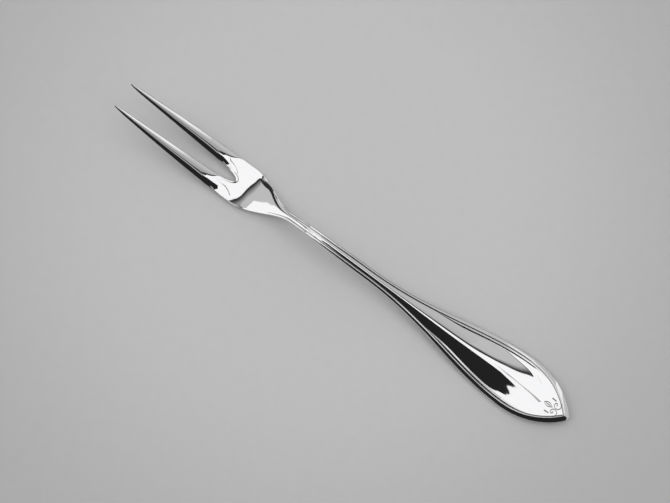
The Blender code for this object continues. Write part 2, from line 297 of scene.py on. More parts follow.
def keel(station, across):
    """Drop of the field from its rounded ridge."""
    along = np.maximum(station, STEM)
    ridge_round = RIDGE_ROUND(along)
    slope = np.tan(np.radians(FIELD_SLOPE(along)))
    level = FIELD_REACH(along)
    sloped = across - LEVELLING * (settled((across - level) / LEVELLING) - settled(-level / LEVELLING))
    return slope * (np.hypot(sloped, ridge_round) - ridge_round)


def plain_level(station, place, reach):
    """Height of the top face before its mouldings: a flat plate that turns into the keeled field."""
    plate = back_height(place) + THICKNESS(place)
    field = np.interp(place, RIDGE_STEPS, RIDGE_LINE) - keel(station, reach)
    return plate + (field - plate) * rising(station, *KEEL_IN)


def mouldings(station):
    """Insets of the outer bead, its groove, the inner bead and the field, and the inner bead's share."""
    inner = rising(station, *INNER_BEAD_IN) * (1.0 - rising(station, *INNER_BEAD_OUT))
    bead = BEAD_INSET(np.maximum(station, STEM))
    groove = bead + GROOVE_FLANK - GROOVE_NARROWING * inner
    second = groove + LEAST_FLANK + INNER_BEAD_RISE * inner + POINTED_FLANK * rising(station, *POINTED_IN)
    field = second + LEAST_FLANK + INNER_BEAD_FALL * inner
    return bead, groove, second, field, inner


def field_width(station, centre):
    """Width of the field on one side of the ridge, where the middle has the inset centre."""
    return np.maximum(centre - mouldings(station)[3], LEAST_REACH)


def relief(station, inset, centre):
    """Height of the top face over its plain level, from the edge to the centre line."""
    bead, groove, second, field, inner = mouldings(station)
    foot = ease(station, *GROOVE_FOOT)
    rise = foot + INNER_BEAD_HEIGHT * inner
    bottom = foot - POINTED_GROOVE * rising(station, *POINTED_IN)
    bevel = ease(station, *LEAF_BEVEL, ease(station, *STEM_BEVEL), LEAF_BEVEL_POWER)
    drop = ease(station, *EDGE_DROP) + BEAD_CREST
    height = BEAD_CREST - drop * np.clip(1.0 - inset / bead, 0.0, 1.0) ** bevel
    share = np.clip((inset - bead) / (groove - bead), 0.0, 1.0) ** ease(station, *GROOVE_SHARPNESS)
    height = np.where(inset > bead, cosine(BEAD_CREST, bottom, share), height)
    flank = cosine(bottom, rise, (inset - groove) / (second - groove))
    height = np.where(inset > groove, flank, height)
    flank = cosine(rise, foot, (inset - second) / (field - second))
    height = np.where(inset > second, flank, height)
    across = np.maximum(centre - inset, 0.0)
    reach = np.maximum(centre - field, LEAST_REACH)
    tent = keel(station, reach) - keel(station, across)
    rib = STEM_RIB * (1.0 - np.clip(across / reach, 0.0, 1.0) ** STEM_RIB_POWER)
    middle = foot + rib + (tent - rib) * rising(station, *KEEL_IN)
    height = np.where(inset > field, middle, height)
    return rising(station, *RELIEF_IN) * height


def edge_depth(place, most):
    """Depth of a rounded edge: a share of the thickness, up to a limit."""
    return np.minimum(EDGE_DEPTH_SHARE * THICKNESS(place), most)


def edge_roll(place, inset):
    """Drop of the outline's rounded upper edge."""
    return roll(inset, TOP_EDGE_REACH, edge_depth(place, TOP_EDGE_DEPTH))


def back_face(ring, place, share, inset):
    """Height of the back, share 0 at the edge and 1 at its middle, worn flat on the table."""
    rise = ease(ring, LEAF, WIDEST, ease(ring, *STEM_BACK_RISE), LEAF_BACK_RISE)
    rise = rise * ease(ring, *END_BACK_RISE)
    height = back_height(place) + rise * (1.0 - share) ** 2
    return np.maximum(height, 0.0) + roll(inset, BACK_EDGE_REACH, edge_depth(place, BACK_EDGE_DEPTH))


# Painted shade in the recesses: half width of a groove's painted dark bottom, and depth at which an engraved
# cut is fully darkened
GROOVE_SHADE = 0.16
CUT_SHADE_DEPTH = 0.08


def groove_painted_shade(station, inset):
    """Share of painted shade at a groove's bottom, from 0 to 1."""
    groove = mouldings(station)[1]
    return np.exp(-((inset - groove) / GROOVE_SHADE) ** 2) * rising(station, *GROOVE_SHADE_IN)


def with_painted_shade(place, across, height, painted_recess_shade):
    """Points of half-section rings, with the painted shade of their recesses as a fourth number."""
    return np.stack([place, across, height, np.broadcast_to(painted_recess_shade, place.shape)], -1)


def scarf_place(station, height):
    """Lean stations near the joint over along the scarf."""
    depth = float(THICKNESS(JOINT))
    middle = float(back_height(JOINT)) + depth / 2.0
    share = 1.0 - np.clip(np.abs(station - JOINT) / SCARF_RUN, 0.0, 1.0)
    return station + share * SCARF_RUN / depth * (height - middle)


# Skin: points closer to the middle plane than this lie on it
ON_PLANE = 1e-5


def ring_quads(number, closed):
    """Quads between neighbouring rings, of which the first closed go all the way round."""
    near, far = number[:-1], number[1:]
    quads = [np.stack([near[:, :-1], near[:, 1:], far[:, 1:], far[:, :-1]], -1).reshape(-1, 4)]
    if closed:
        near, far = number[:closed - 1], number[1:closed]
        quads.append(np.stack([near[:, -1], near[:, 0], far[:, 0], far[:, -1]], -1))
    return np.concatenate(quads)


def add(name, data):
    """Object of the scene for a mesh, a lamp or a camera."""
    item = bpy.data.objects.new(name, data)
    bpy.context.scene.collection.objects.link(item)
    return item


def shade_round(mesh):
    """Smooth shading, with flat end faces and sharp edges round them."""
    mesh.shade_smooth()
    sharp = set()
    for face in mesh.polygons:
        if len(face.vertices) > 4:
            face.use_smooth = False
            sharp.update(face.edge_keys)
    for edge in mesh.edges:
        edge.use_edge_sharp = edge.key in sharp


def mirrored_shell(name, rings, closed, caps):
    """Skin over half-section rings and their mirror image across the fork, faces pointing out.

    The first closed rings go all the way round. Each of caps gets an end face.
    """
    count, across = rings.shape[:2]
    half = rings[:, :, :3].reshape(-1, 3)
    painted_recess_shade = rings[:, :, 3].ravel()
    number = np.arange(count * across).reshape(count, across)
    quads = ring_quads(number, closed)
    on_plane = np.abs(half[:, 1]) < ON_PLANE
    quads = quads[~on_plane[quads].all(1)]
    other = np.arange(len(half)) + len(half)
    other[on_plane] = np.flatnonzero(on_plane)
    points = np.concatenate([half, half * (1.0, -1.0, 1.0)])
    points[:len(half)][on_plane, 1] = 0.0
    skin = np.concatenate([quads[:, ::-1], other[quads]])
    ends = []
    # The first ring's end face looks the other way from that of the last
    for i in caps:
        loop = number[i][::-1 if i else 1]
        ends += [loop, other[loop][::-1]]
    used = np.unique(np.concatenate([skin.ravel(), *ends]))
    fresh = np.zeros(len(points), dtype=int)
    fresh[used] = np.arange(len(used))
    mesh = bpy.data.meshes.new(name)
    mesh.from_pydata((points[used] * MM - (END / 2.0 * MM, 0.0, 0.0)).tolist(), [],
                     fresh[skin].tolist() + [fresh[loop].tolist() for loop in ends])
    mesh.validate()
    shade_round(mesh)
    # Painted shade of the grooves and engraved cuts, kept on the points for the material
    level = np.concatenate([painted_recess_shade, painted_recess_shade])[used]
    colours = np.stack([level, level, level, np.ones(len(level))], -1)
    mesh.color_attributes.new("painted_recess_shade", 'FLOAT_COLOR', 'POINT').data.foreach_set("color", colours.ravel())
    return add(name, mesh)


# Head: counts and spacing of its rings and of the points across them
POINT_RINGS = 26
TINE_RING_STEP = 0.42
GAP_RINGS = 56
ROOT_RINGS = 30
ROOT_RUN = 3.0
NECK_RING_STEP = 0.33
HEAD_POINTS = 60
STRAIGHT_GAP_TO = 40.0
GAP_LEAD = 5.0
GAP_SIDE_STEPS = 300
GAP_ROUND_STEPS = 160
SCARFED_FROM = 70.0
TOUCH = 1e-9


def gap_turn(count):
    """Stations round the end of the gap between the tines."""
    return GAP_END - GAP_ROUND * (1.0 - np.sin(quarter_turn(count)))


def gap_distance(station, across):
    """Distance of points from the outline of the gap between the tines."""
    sides = np.linspace(-GAP_LEAD, GAP_END - GAP_ROUND, GAP_SIDE_STEPS, endpoint=False)
    run = np.concatenate([sides, gap_turn(GAP_ROUND_STEPS)])
    outline = np.stack([run, gap_half_width(run)], -1)
    best = np.full(station.shape, np.inf)
    for start, stop in zip(outline[:-1], outline[1:]):
        span = stop - start
        dx = station - start[0]
        dy = across - start[1]
        share = np.clip((dx * span[0] + dy * span[1]) / (span ** 2).sum(), 0.0, 1.0)
        best = np.minimum(best, (dx - share * span[0]) ** 2 + (dy - share * span[1]) ** 2)
    return np.sqrt(best)


def head_top(station, across, inner, outer):
    """Height of the head's top face: crowned tines, a bowed root, rolled shoulders, then the stem."""
    inset = outer - across
    width = outer - inner
    from_gap = np.where(station < STRAIGHT_GAP_TO, across - inner, gap_distance(station, across))
    reach = np.minimum(width / 2.0, CROWN_REACH)
    crown = reach * ease(station, *TINE_CROWN) * ease(station, *CROWN_OUT)
    gap_side = np.clip(1.0 - from_gap / reach, 0.0, 1.0) ** 2
    outer_side = np.clip(1.0 - inset / reach, 0.0, 1.0) ** 2
    height = plain_level(station, station, field_width(station, width)) - crown * (gap_side + outer_side)
    bowed = ease(station, *BOW_IN) * ease(station, *BOW_OUT)
    height = height - bowed * across ** 2 / (2.0 * ROOT_BOW)
    rolled = ease(station, *SHOULDER_ROLL_IN) * ease(station, *SHOULDER_ROLL_OUT)
    height = height - rolled * SHOULDER_ROLL * np.maximum(SHOULDER_ROLL_REACH - inset, 0.0) ** 2
    lip = ease(station, *LIP_IN)
    lip_depth = edge_depth(station, TOP_EDGE_DEPTH) + LIP_DEPTH * lip
    height = height - roll(from_gap, SLOT_EDGE_REACH + LIP_REACH * lip, lip_depth)
    return height - edge_roll(station, inset) + relief(station, inset, width)


def head_section(ring, place, share):
    """Inner side, outer side and distance from the middle, at shares of a section's width."""
    inner, outer = tine_sides(place)
    inner = np.where(ring < GAP_END - TOUCH, inner, 0.0)
    return inner, outer, inner + (outer - inner) * share


def head_upper(station, share):
    """Half-section points of the head's top face."""
    inner, outer, across = head_section(station, station, share)
    ring = np.broadcast_to(station, across.shape)
    place = scarf_place(ring, head_top(ring, across, inner, outer))
    inner, outer, across = head_section(ring, place, share)
    top = head_top(place, across, inner, outer)
    return with_painted_shade(place, across, top, groove_painted_shade(place, outer - across))


def head_lower(station, share):
    """Half-section points of the head's back."""
    inner, outer, across = head_section(station, station, share)
    ring = np.broadcast_to(station, across.shape)
    middle = np.where(ring < GAP_END, 1.0 - np.abs(2.0 * share - 1.0), 1.0 - share)
    inset = np.minimum(outer - across, np.where(ring < GAP_END, across - inner, np.inf))
    place = scarf_place(ring, back_face(ring, ring, middle, inset))
    outer = outer_half_width(place)
    across = np.where(ring > SCARFED_FROM, outer * share, across)
    inset = np.where(ring > SCARFED_FROM, outer - across, inset)
    return with_painted_shade(place, across, back_face(place, place, middle, inset), 0.0)


def head_rings():
    """Half-section rings from the tine tips to the joint, and how many of them are tine rings."""
    point = TINE_POINT * (1.0 - np.cos(quarter_turn(POINT_RINGS)))
    tines = np.arange(TINE_POINT, GAP_END - GAP_ROUND, TINE_RING_STEP)[1:]
    gap = gap_turn(GAP_RINGS)
    root = GAP_END + ROOT_RUN * (1.0 - np.cos(quarter_turn(ROOT_RINGS)))[1:]
    neck = np.arange(GAP_END + ROOT_RUN, JOINT, NECK_RING_STEP)[1:]
    station = np.concatenate([point, tines, gap, root, neck, [JOINT]])[:, None]
    share = (1.0 - np.cos(np.linspace(0.0, np.pi, HEAD_POINTS))) / 2.0
    rings = np.concatenate([head_upper(station, share), head_lower(station, share[::-1])], 1)
    return rings, len(point) + len(tines) + len(gap)


# Ornament engraved on the pointed end: on each half a volute, half an almond and a short stroke.
# A cut is a half width and a depth.
VOLUTE_CENTRE = (203.7, 1.2)
VOLUTE = (
    (0.84, 1.79), (1.36, 0.60), (1.19, -0.41), (0.48, -0.91), (-0.48, -0.84), (-1.12, -0.24),
    (-1.12, 0.60), (-0.60, 0.93), (-0.19, 0.60), (-0.24, 0.07))
VOLUTE_STEPS = 90
VOLUTE_CUT = (0.17, 0.08)
ALMOND_CENTRE = 200.5
ALMOND_REACH = 1.75
ALMOND_HALF_WIDTH = 0.75
ALMOND_STEPS = 40
ALMOND_CUT = (0.17, 0.07)
CORE_REACH = 0.875
CORE_CUT = (0.20, 0.06)
STROKE = ((200.6, 2.80), (202.2, 2.70))
STROKE_CUT = (0.26, 0.09)
ENGRAVED_FROM = 197.0
ENGRAVED_HALF_WIDTH = 5.0


def engraved_lines():
    """Lines of the ornament on one half, each with its half width and depth."""
    steps = np.linspace(0.0, 1.0, VOLUTE_STEPS)
    knots = np.linspace(0.0, 1.0, len(VOLUTE))
    volute = np.stack([spline(*zip(knots, axis))(steps) for axis in zip(*VOLUTE)], -1) + VOLUTE_CENTRE
    along = np.linspace(-1.0, 1.0, ALMOND_STEPS)
    arc = np.stack([ALMOND_CENTRE + ALMOND_REACH * along, ALMOND_HALF_WIDTH * (1.0 - along ** 2)], -1)
    core = np.stack([ALMOND_CENTRE + CORE_REACH * along, np.zeros(ALMOND_STEPS)], -1)
    return (volute, *VOLUTE_CUT), (arc, *ALMOND_CUT), (core, *CORE_CUT), (np.array(STROKE), *STROKE_CUT)


def engraving(station, across):
    """Depth of the engraved ornament at points of the pointed end."""
    depth = np.zeros(station.shape)
    near = (station > ENGRAVED_FROM) & (across < ENGRAVED_HALF_WIDTH)
    x, y = station[near], across[near]
    deepest = np.zeros(x.shape)
    for line, half_width, full in engraved_lines():
        best = np.full(x.shape, np.inf)
        for start, stop in zip(line[:-1], line[1:]):
            span = stop - start
            share = np.clip(((x - start[0]) * span[0] + (y - start[1]) * span[1]) / (span @ span), 0.0, 1.0)
            best = np.minimum(best, np.hypot(x - start[0] - share * span[0], y - start[1] - share * span[1]))
        deepest = np.maximum(deepest, full * (1.0 - smooth(best / half_width)))
    depth[near] = deepest
    return depth


# Handle: stretches of its rings with their spacing, and counts of the points across them
RING_STRETCHES = (
    (JOINT, 146.0, 0.7), (146.0, WIDEST, 0.5), (WIDEST, 198.0, 0.4), (198.0, 204.0, 0.1))
TIP_RINGS_FROM = 204.0
TIP_RINGS = 130
TIP_CROWDING = 1.8
RIM_POINTS = 9
FLANK_POINTS = (9, 7, 8, 6)
FIELD_POINTS = 64
BACK_POINTS = 15
SLOPE_PROBE = 0.02
SCARF_MARGIN = 1.0
TINY = 1e-6


def handle_sections():
    """Stations of the handle's rings, their half width, lean to the mitre and inset of the middle."""
    tip = END - (END - TIP_RINGS_FROM) * np.linspace(1.0, 0.0, TIP_RINGS) ** TIP_CROWDING
    station = np.concatenate([*(np.arange(*stretch) for stretch in RING_STRETCHES), tip])[:, None]
    width = outer_half_width(station)
    past = np.clip((station - WIDEST) / (END - WIDEST), 0.0, 1.0)
    lean = MITRE * past ** 2
    ahead = np.minimum(station + SLOPE_PROBE, END)
    fall = outer_half_width(station - SLOPE_PROBE) - outer_half_width(ahead)
    slope = np.arctan2(fall, ahead - station + SLOPE_PROBE)
    return station, width, lean, width * np.cos(slope) + lean * np.sin(slope)


def ring_insets(station, centre):
    """Insets of a ring's points: the rounded edge, the flanks of each moulding, then the field."""
    bead, groove, second, field, _ = mouldings(station)
    rim = TOP_EDGE_REACH * (1.0 - np.cos(quarter_turn(RIM_POINTS)))[:-1]
    parts = [np.broadcast_to(rim, (len(station), len(rim)))]
    limits = (np.full_like(bead, TOP_EDGE_REACH), bead, groove, second, field)
    for first, last, number in zip(limits, limits[1:], FLANK_POINTS):
        parts.append(first + (last - first) * np.linspace(0.0, 1.0, number, endpoint=False))
    parts.append(field + (centre - field) * np.sin(quarter_turn(FIELD_POINTS)))
    return np.minimum(np.concatenate(parts, 1), centre)


def lean_to_scarf(ring, place, height, width):
    """Where points are near the joint, their place leaned over, half width there and section's station."""
    near = ring < JOINT + SCARF_RUN + SCARF_MARGIN
    place = np.where(near, scarf_place(place, height), place)
    return near, place, np.where(near, outer_half_width(place), width), np.where(near, place, ring)


def handle_upper(station, width, lean, centre):
    """Half-section points of the handle's top face."""
    inset = ring_insets(station, centre)
    share = inset / np.maximum(centre, TINY)
    place = station - lean * share
    ring = np.broadcast_to(station, place.shape)
    top = plain_level(ring, place, field_width(station, centre)) + relief(ring, inset, centre)
    near, place, width, section = lean_to_scarf(ring, place, top - edge_roll(place, inset), width)
    inset = np.where(near, share * width, inset)
    centre = np.where(near, width, centre)
    across = width * (1.0 - share)
    top = plain_level(section, place, field_width(section, centre)) + relief(section, inset, centre)
    cut = engraving(place, across)
    # Painted shade: darker at the groove's bottom, and by the depth of the engraved cuts
    painted_recess_shade = np.clip(groove_painted_shade(section, inset) + cut / CUT_SHADE_DEPTH, 0.0, 1.0)
    return with_painted_shade(place, across, top - edge_roll(place, inset) - cut, painted_recess_shade)


def handle_lower(station, width, lean, centre):
    """Half-section points of the handle's back."""
    share = np.sin(quarter_turn(BACK_POINTS)) ** 2
    place = station - lean * share
    ring = np.broadcast_to(station, place.shape)
    low = back_face(ring, place, share, share * centre)
    _, place, width, section = lean_to_scarf(ring, place, low, width)
    low = back_face(section, place, share, share * width)
    return with_painted_shade(place, width * (1.0 - share), low, 0.0)


def handle_rings():
    """Half-section rings from the joint to the pointed end."""
    sections = handle_sections()
    return np.concatenate([handle_upper(*sections)[:, ::-1], handle_lower(*sections)], 1)


# Materials
STEEL_TONES = ((0.0, 0.765), (1.0, 0.825))
STEEL_CAST = 1.012
POLISHING_LINES = (60.0, 2200.0, 2200.0)
POLISHING_DETAIL = 3.0
WIPE_SCALE = 70.0
WIPE_DETAIL = 5.0
WIPE_RANGE = (0.3, 0.7)
STEEL_ROUGHNESS = (0.012, 0.030)
# Painted shade in the recesses: their darker colour, and their roughness
RECESS_PAINTED_SHADE_COLOUR = (0.30, 0.29, 0.28, 1.0)
RECESS_ROUGHNESS = 0.30


def grey(level):
    """Opaque grey."""
    return (level, level, level, 1.0)


def ramp(nodes, stops, cast=1.0):
    """Colour ramp through greys, given as places and levels, with a cast towards blue."""
    node = nodes.new("ShaderNodeValToRGB")
    for stop, (place, level) in zip(node.color_ramp.elements, stops):
        stop.position = place
        stop.color = (level, level, level * cast, 1.0)
    return node


def noise(nodes, scale, detail):
    """Noise texture."""
    node = nodes.new("ShaderNodeTexNoise")
    node.inputs["Scale"].default_value = scale
    node.inputs["Detail"].default_value = detail
    return node


def colour_mix(nodes):
    """Mix of two colours."""
    node = nodes.new("ShaderNodeMix")
    node.data_type = 'RGBA'
    return node


def new_material(name):
    """Material, its nodes, its link function and its shader."""
    material = bpy.data.materials.new(name)
    material.use_nodes = True
    nodes = material.node_tree.nodes
    return material, nodes, material.node_tree.links.new, nodes["Principled BSDF"]


def steel(name):
    """Polished steel: faint polishing lines along the fork, soft wipe marks, and painted shade that darkens
    the recesses and raises their roughness.
    """
    material, nodes, link, shader = new_material(name)
    shader.inputs["Metallic"].default_value = 1.0
    coordinates = nodes.new("ShaderNodeTexCoord")
    stretch = nodes.new("ShaderNodeMapping")
    stretch.inputs["Scale"].default_value = POLISHING_LINES
    lines = noise(nodes, 1.0, POLISHING_DETAIL)
    tone = ramp(nodes, STEEL_TONES, STEEL_CAST)
    wipes = noise(nodes, WIPE_SCALE, WIPE_DETAIL)
    polish = nodes.new("ShaderNodeMapRange")
    polish.inputs["From Min"].default_value, polish.inputs["From Max"].default_value = WIPE_RANGE
    polish.inputs["To Min"].default_value, polish.inputs["To Max"].default_value = STEEL_ROUGHNESS
    # Painted shade: darkens the base colour in the recesses and raises their roughness
    painted_recess_shade = nodes.new("ShaderNodeAttribute")
    painted_recess_shade.attribute_name = "painted_recess_shade"
    shaded = colour_mix(nodes)
    shaded.inputs["B"].default_value = RECESS_PAINTED_SHADE_COLOUR
    dulled = nodes.new("ShaderNodeMix")
    dulled.inputs["B"].default_value = RECESS_ROUGHNESS
    link(coordinates.outputs["Object"], stretch.inputs["Vector"])
    link(stretch.outputs["Vector"], lines.inputs["Vector"])
    link(lines.outputs["Fac"], tone.inputs["Fac"])
    link(coordinates.outputs["Object"], wipes.inputs["Vector"])
    link(wipes.outputs["Fac"], polish.inputs["Value"])
    link(painted_recess_shade.outputs["Fac"], shaded.inputs["Factor"])
    link(tone.outputs["Color"], shaded.inputs["A"])
    link(shaded.outputs["Result"], shader.inputs["Base Color"])
    link(painted_recess_shade.outputs["Fac"], dulled.inputs["Factor"])
    link(polish.outputs["Result"], dulled.inputs["A"])
    link(dulled.outputs["Result"], shader.inputs["Roughness"])
    return material


# Fork
head_points, tine_rings = head_rings()
head = mirrored_shell("fork_head_polished", head_points, tine_rings, (0, len(head_points) - 1))
handle = mirrored_shell("handle_polished", handle_rings(), 0, (0,))
for piece, node, slot in ((head, "fork_head", "head_steel"), (handle, "handle", "handle_steel")):
    piece.data.materials.append(steel(slot + "_polish"))
    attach(piece, "root")
    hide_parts(node)

# Floor, in metres: grey with a painted pool of light, paler round the fork, that falls off outwards
FLOOR_REACH = 3.0
# Greys of the painted pool of light: places on its gradient and their levels
FLOOR_PAINTED_LIGHT_TONES = ((0.40, 0.515), (0.80, 0.64))
FLOOR_ROUGHNESS = 0.9
FLOOR_SPECULAR = 0.1
PAINTED_LIGHT_POOL_CENTRE = (-0.0224, 0.0132, 0.0)
PAINTED_LIGHT_POOL_RADIUS = 0.30
MOTTLE_SCALE = 260.0
MOTTLE_DETAIL = 4.0
MOTTLE_SHARE = 0.06


def floor_with_painted_light():
    """Matt grey with a painted pool of light, paler round the fork, and a faint mottling."""
    material, nodes, link, shader = new_material("floor")
    shader.inputs["Roughness"].default_value = FLOOR_ROUGHNESS
    shader.inputs["Specular IOR Level"].default_value = FLOOR_SPECULAR
    coordinates = nodes.new("ShaderNodeTexCoord")
    # Painted pool of light: a spherical gradient round the fork, paler at its middle
    painted_light_pool = nodes.new("ShaderNodeMapping")
    painted_light_pool.vector_type = 'TEXTURE'
    painted_light_pool.inputs["Location"].default_value = PAINTED_LIGHT_POOL_CENTRE
    painted_light_pool.inputs["Scale"].default_value = (PAINTED_LIGHT_POOL_RADIUS, PAINTED_LIGHT_POOL_RADIUS, PAINTED_LIGHT_POOL_RADIUS)
    fall = nodes.new("ShaderNodeTexGradient")
    fall.gradient_type = 'SPHERICAL'
    tone = ramp(nodes, FLOOR_PAINTED_LIGHT_TONES)
    tone.color_ramp.interpolation = 'EASE'
    grain = noise(nodes, MOTTLE_SCALE, MOTTLE_DETAIL)
    mottle = colour_mix(nodes)
    mottle.blend_type = 'SOFT_LIGHT'
    mottle.inputs["Factor"].default_value = MOTTLE_SHARE
    link(coordinates.outputs["Object"], painted_light_pool.inputs["Vector"])
    link(painted_light_pool.outputs["Vector"], fall.inputs["Vector"])
    link(fall.outputs["Fac"], tone.inputs["Fac"])
    link(coordinates.outputs["Object"], grain.inputs["Vector"])
    link(tone.outputs["Color"], mottle.inputs["A"])
    link(grain.outputs["Fac"], mottle.inputs["B"])
    link(mottle.outputs["Result"], shader.inputs["Base Color"])
    return material


floor_mesh = bpy.data.meshes.new("floor")
floor_corners = ((-1, -1), (1, -1), (1, 1), (-1, 1))
floor_points = [(x * FLOOR_REACH, y * FLOOR_REACH, 0.0) for x, y in floor_corners]
floor_mesh.from_pydata(floor_points, [], [(0, 1, 2, 3)])
floor_mesh.materials.append(floor_with_painted_light())
add("floor", floor_mesh)

# Camera, in metres
AZIMUTH = math.radians(36.02)
ELEVATION = math.radians(81.0)
TARGET = Vector((-0.00463, 0.00019, 0.0))
DISTANCE = 0.8453
LENS = 118.2
SENSOR = 36.0
RIGHT = Vector((math.cos(AZIMUTH), math.sin(AZIMUTH), 0.0))
UP = Vector((-math.sin(AZIMUTH), math.cos(AZIMUTH), 0.0))
ZENITH = Vector((0.0, 0.0, 1.0))
away = ZENITH * math.sin(ELEVATION) - UP * math.cos(ELEVATION)
camera_data = bpy.data.cameras.new("camera")
camera_data.lens = LENS
camera_data.sensor_width = SENSOR
camera = add("camera", camera_data)
camera.location = TARGET + away * DISTANCE
camera.rotation_euler = (-away).to_track_quat('-Z', 'Y').to_euler()
bpy.context.scene.camera = camera

# World: dark horizon and grey sky in the metal, an even fill on the floor, grey where the camera sees it
SKY_TONES = ((0.20, 0.16), (0.62, 0.62))
SKY_FILL = 0.80
SKY_SEEN = 0.62


def sky():
    """World that the metal, the floor and the camera each see in their own grey."""
    world = bpy.data.worlds.new("world")
    world.use_nodes = True
    nodes = world.node_tree.nodes
    link = world.node_tree.links.new
    coordinates = nodes.new("ShaderNodeTexCoord")
    parts = nodes.new("ShaderNodeSeparateXYZ")
    tone = ramp(nodes, SKY_TONES)
    path = nodes.new("ShaderNodeLightPath")
    fill = colour_mix(nodes)
    fill.inputs["A"].default_value = grey(SKY_FILL)
    seen = colour_mix(nodes)
    seen.inputs["B"].default_value = grey(SKY_SEEN)
    link(coordinates.outputs["Generated"], parts.inputs["Vector"])
    link(parts.outputs["Z"], tone.inputs["Fac"])
    link(path.outputs["Is Glossy Ray"], fill.inputs["Factor"])
    link(tone.outputs["Color"], fill.inputs["B"])
    link(path.outputs["Is Camera Ray"], seen.inputs["Factor"])
    link(fill.outputs["Result"], seen.inputs["A"])
    link(seen.outputs["Result"], nodes["Background"].inputs["Color"])
    return world


bpy.context.scene.world = sky()

# Lamp, in metres and watts
LAMP_SIZE = 1.8
LAMP_POWER = 4.0
LAMP_PLACE = RIGHT * 0.45 + UP * 0.35 + ZENITH * 1.5
lamp_data = bpy.data.lights.new("lamp", 'AREA')
lamp_data.shape = 'DISK'
lamp_data.size = LAMP_SIZE
lamp_data.energy = LAMP_POWER
lamp = add("lamp", lamp_data)
lamp.location = LAMP_PLACE
lamp.rotation_euler = LAMP_PLACE.to_track_quat('Z', 'Y').to_euler()
lamp.visible_camera = False
lamp.visible_glossy = False

# Cards overhead that the metal mirrors. A corner is in degrees from the zenith, to image right and image up,
# or along the fork and across it where fork_aligned turns it.
CARD_BASE = 0.01
FORK_COSINE = 0.811
FORK_SINE = 0.585


def overhead(right, up, height):
    """Point at a height, in degrees from the zenith to image right and image up."""
    turn = math.hypot(right, up)
    reach = height * math.tan(math.radians(turn)) / turn
    return (RIGHT * right * reach + UP * up * reach + ZENITH * height)[:]


def fork_aligned(along, across):
    """Corner given along the fork and across it."""
    return FORK_COSINE * along + FORK_SINE * across, FORK_COSINE * across - FORK_SINE * along


def fork_corners(corners):
    """Corners given along the fork and across it."""
    return [fork_aligned(*corner) for corner in corners]


def band(line, extra, offset):
    """Corners of a narrow band along a line of fork-aligned corners with their widths."""
    sides = [(along + offset - (width + extra) / 2.0, across) for along, across, width in line]
    sides += [(along + offset + (width + extra) / 2.0, across) for along, across, width in reversed(line)]
    return fork_corners(sides)


def stage_card(name, mesh):
    """Matt black card that the camera doesn't see, with the nodes of its glow."""
    material, nodes, link, shader = new_material(name)
    shader.inputs["Base Color"].default_value = grey(CARD_BASE)
    shader.inputs["Roughness"].default_value = 1.0
    shader.inputs["Specular IOR Level"].default_value = 0.0
    mesh.materials.append(material)
    item = add(name, mesh)
    item.visible_camera = False
    return nodes, link, shader


def card(name, height, strength, corners):
    """Card of one brightness."""
    mesh = bpy.data.meshes.new(name)
    mesh.from_pydata([overhead(right, up, height) for right, up in corners], [], [range(len(corners))])
    shader = stage_card(name, mesh)[2]
    shader.inputs["Emission Color"].default_value = grey(1.0)
    shader.inputs["Emission Strength"].default_value = strength


def graded(name, height, loops, shades, closed=False):
    """Card whose brightness blends from one line of corners to the next."""
    count = len(loops[0])
    points = [overhead(right, up, height) for loop in loops for right, up in loop]
    faces = []
    for k in range(len(loops) - 1):
        for i in range(count if closed else count - 1):
            j = (i + 1) % count
            faces.append((k * count + i, k * count + j, (k + 1) * count + j, (k + 1) * count + i))
    mesh = bpy.data.meshes.new(name)
    mesh.from_pydata(points, [], faces)
    shade = mesh.color_attributes.new("shade", 'FLOAT_COLOR', 'POINT')
    for i in range(len(points)):
        shade.data[i].color = grey(shades[i // count])
    nodes, link, shader = stage_card(name, mesh)
    shader.inputs["Emission Strength"].default_value = 1.0
    attribute = nodes.new("ShaderNodeAttribute")
    attribute.attribute_name = "shade"
    link(attribute.outputs["Color"], shader.inputs["Emission Color"])


# Heights of the cards in metres, where a lower card hides a higher one, and their brightness
UPPER_HEIGHT = 6.12
DIM_HEIGHT = 6.06
FRAME_HEIGHT = 6.018
KEY_HEIGHT = 6.0
SECOND_HEIGHT = 5.988
SEAM_HEIGHT = 5.97
FLAG_HEIGHT = 5.94
FLAG_EDGE_HEIGHT = 5.91
BAR_HEIGHT = 5.88
SEAM_COVER_HEIGHT = 2.0
CORD_HEIGHT = 0.62
WHITE = 1.15
UPPER_WHITE = 1.0
STRIP_WHITE = 1.05
GREY = 0.62
SEAM_GREY = 0.5
CORD_GREY = 0.25
FRAME_BLACK = 0.03
BAR_BLACK = 0.025
FLAG_EDGE_BLACK = 0.02
FLAG_BLACK = 0.012

